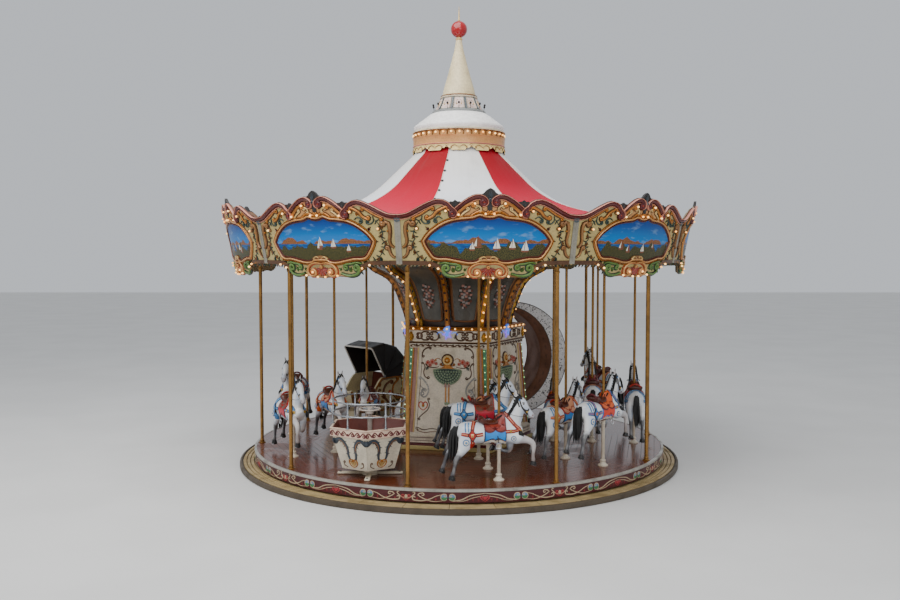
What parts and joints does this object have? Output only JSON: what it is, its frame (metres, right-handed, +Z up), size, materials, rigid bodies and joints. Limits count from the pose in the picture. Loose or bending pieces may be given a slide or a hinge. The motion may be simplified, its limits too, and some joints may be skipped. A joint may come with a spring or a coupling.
{
  "type": "fairground carousel",
  "caption": "Round ride with a striped roof, carved rounding boards, jumping horses on brass poles, a spinning tub and two chariots.",
  "frame": {"origin": "on the ride's turning axis at ground level", "axes": "+Z up along the turning axis; the loading side shown in the picture faces -Y"},
  "size_m": [7.2474, 7.2918, 7.13],
  "materials": {
    "ground_hub": "matt grey paint",
    "entry_step": "worn cream paint on slats",
    "deck": "varnished red-brown planks, wet gloss",
    "skirt": "painted scrolls and rosettes on dark red",
    "drum": "cream panels with painted scrolls",
    "shroud": "dark panels between gold ribs",
    "ceiling": "cream paint",
    "post": "polished brass",
    "board": "moulded gold and cream scrollwork, gloss",
    "canopy": "coated cloth in red and white stripes",
    "crown": "cream and gold mouldings",
    "ball": "gloss red",
    "horse": "white gloss paint with coloured trappings",
    "tub": "cream with gold and black leaves",
    "rails": "polished",
    "moon": "speckled white",
    "seat": "brown-red satin",
    "hood": "black coated cloth"
  },
  "bodies": {
    "base": {"ground_hub": "ground_hub", "entry_step": "entry_step"},
    "turntable": {"platform_deck": "deck", "platform_skirt": "skirt", "centre_drum": "drum", "drum_frieze": "drum", "flared_shroud": "shroud", "ceiling": "ceiling", "post_1": "post", "rounding_board_1": "board", "post_2": "post", "rounding_board_2": "board", "post_3": "post", "rounding_board_3": "board", "post_4": "post", "rounding_board_4": "board", "post_5": "post", "rounding_board_5": "board", "post_6": "post", "rounding_board_6": "board", "post_7": "post", "rounding_board_7": "board", "post_8": "post", "rounding_board_8": "board", "post_9": "post", "rounding_board_9": "board", "post_10": "post", "rounding_board_10": "board", "canopy": "canopy", "lambrequin": "crown", "lamp_band": "crown", "dome": "crown", "crown_band": "crown", "spire": "crown", "finial": "ball", "tub_pedestal": "tub", "moon_chariot": "moon", "moon_seat": "seat", "carriage_body": "tub", "carriage_hood": "hood"},
    "tub": {"tub_shell": "tub", "tub_rails": "rails"},
    "horse_1_outer": {"horse_1_outer": "horse"},
    "horse_1_middle": {"horse_1_middle": "horse"},
    "horse_1_inner": {"horse_1_inner": "horse"},
    "horse_2_outer": {"horse_2_outer": "horse"},
    "horse_2_middle": {"horse_2_middle": "horse"},
    "horse_3_outer": {"horse_3_outer": "horse"},
    "horse_3_middle": {"horse_3_middle": "horse"},
    "horse_3_inner": {"horse_3_inner": "horse"},
    "horse_4_outer": {"horse_4_outer": "horse"},
    "horse_6_outer": {"horse_6_outer": "horse"},
    "horse_6_middle": {"horse_6_middle": "horse"},
    "horse_8_outer": {"horse_8_outer": "horse"},
    "horse_8_inner": {"horse_8_inner": "horse"},
    "horse_9_outer": {"horse_9_outer": "horse"},
    "horse_9_middle": {"horse_9_middle": "horse"}
  },
  "joints": [
    {"name": "ride_turn", "type": "hinge", "parent": "base", "child": "turntable", "pos_m": [0, 0, 0.19], "axis": [0, 0, 1], "continuous": true},
    {"name": "tub_spin", "type": "hinge", "parent": "turntable", "child": "tub", "pos_m": [-1.20307, -2.36117, 0.42], "axis": [0, 0, 1], "continuous": true},
    {"name": "horse_1_outer_jump", "type": "slide", "parent": "turntable", "child": "horse_1_outer", "axis": [0, 0, 1], "range_m": [-0.0192, 0.2208]},
    {"name": "horse_1_middle_jump", "type": "slide", "parent": "turntable", "child": "horse_1_middle", "axis": [0, 0, 1], "range_m": [-0.204, 0.036]},
    {"name": "horse_1_inner_jump", "type": "slide", "parent": "turntable", "child": "horse_1_inner", "axis": [0, 0, 1], "range_m": [-0.168, 0.072]},
    {"name": "horse_2_outer_jump", "type": "slide", "parent": "turntable", "child": "horse_2_outer", "axis": [0, 0, 1], "range_m": [-0.18, 0.06]},
    {"name": "horse_2_middle_jump", "type": "slide", "parent": "turntable", "child": "horse_2_middle", "axis": [0, 0, 1], "range_m": [-0.072, 0.168]},
    {"name": "horse_3_outer_jump", "type": "slide", "parent": "turntable", "child": "horse_3_outer", "axis": [0, 0, 1], "range_m": [-0.108, 0.132]},
    {"name": "horse_3_middle_jump", "type": "slide", "parent": "turntable", "child": "horse_3_middle", "axis": [0, 0, 1], "range_m": [-0.216, 0.024]},
    {"name": "horse_3_inner_jump", "type": "slide", "parent": "turntable", "child": "horse_3_inner", "axis": [0, 0, 1], "range_m": [-0.048, 0.192]},
    {"name": "horse_4_outer_jump", "type": "slide", "parent": "turntable", "child": "horse_4_outer", "axis": [0, 0, 1], "range_m": [-0.156, 0.084]},
    {"name": "horse_6_outer_jump", "type": "slide", "parent": "turntable", "child": "horse_6_outer", "axis": [0, 0, 1], "range_m": [-0.084, 0.156]},
    {"name": "horse_6_middle_jump", "type": "slide", "parent": "turntable", "child": "horse_6_middle", "axis": [0, 0, 1], "range_m": [-0.192, 0.048]},
    {"name": "horse_8_outer_jump", "type": "slide", "parent": "turntable", "child": "horse_8_outer", "axis": [0, 0, 1], "range_m": [-0.132, 0.108]},
    {"name": "horse_8_inner_jump", "type": "slide", "parent": "turntable", "child": "horse_8_inner", "axis": [0, 0, 1], "range_m": [-0.036, 0.204]},
    {"name": "horse_9_outer_jump", "type": "slide", "parent": "turntable", "child": "horse_9_outer", "axis": [0, 0, 1], "range_m": [-0.06, 0.18]},
    {"name": "horse_9_middle_jump", "type": "slide", "parent": "turntable", "child": "horse_9_middle", "axis": [0, 0, 1], "range_m": [-0.144, 0.096]}
  ]
}
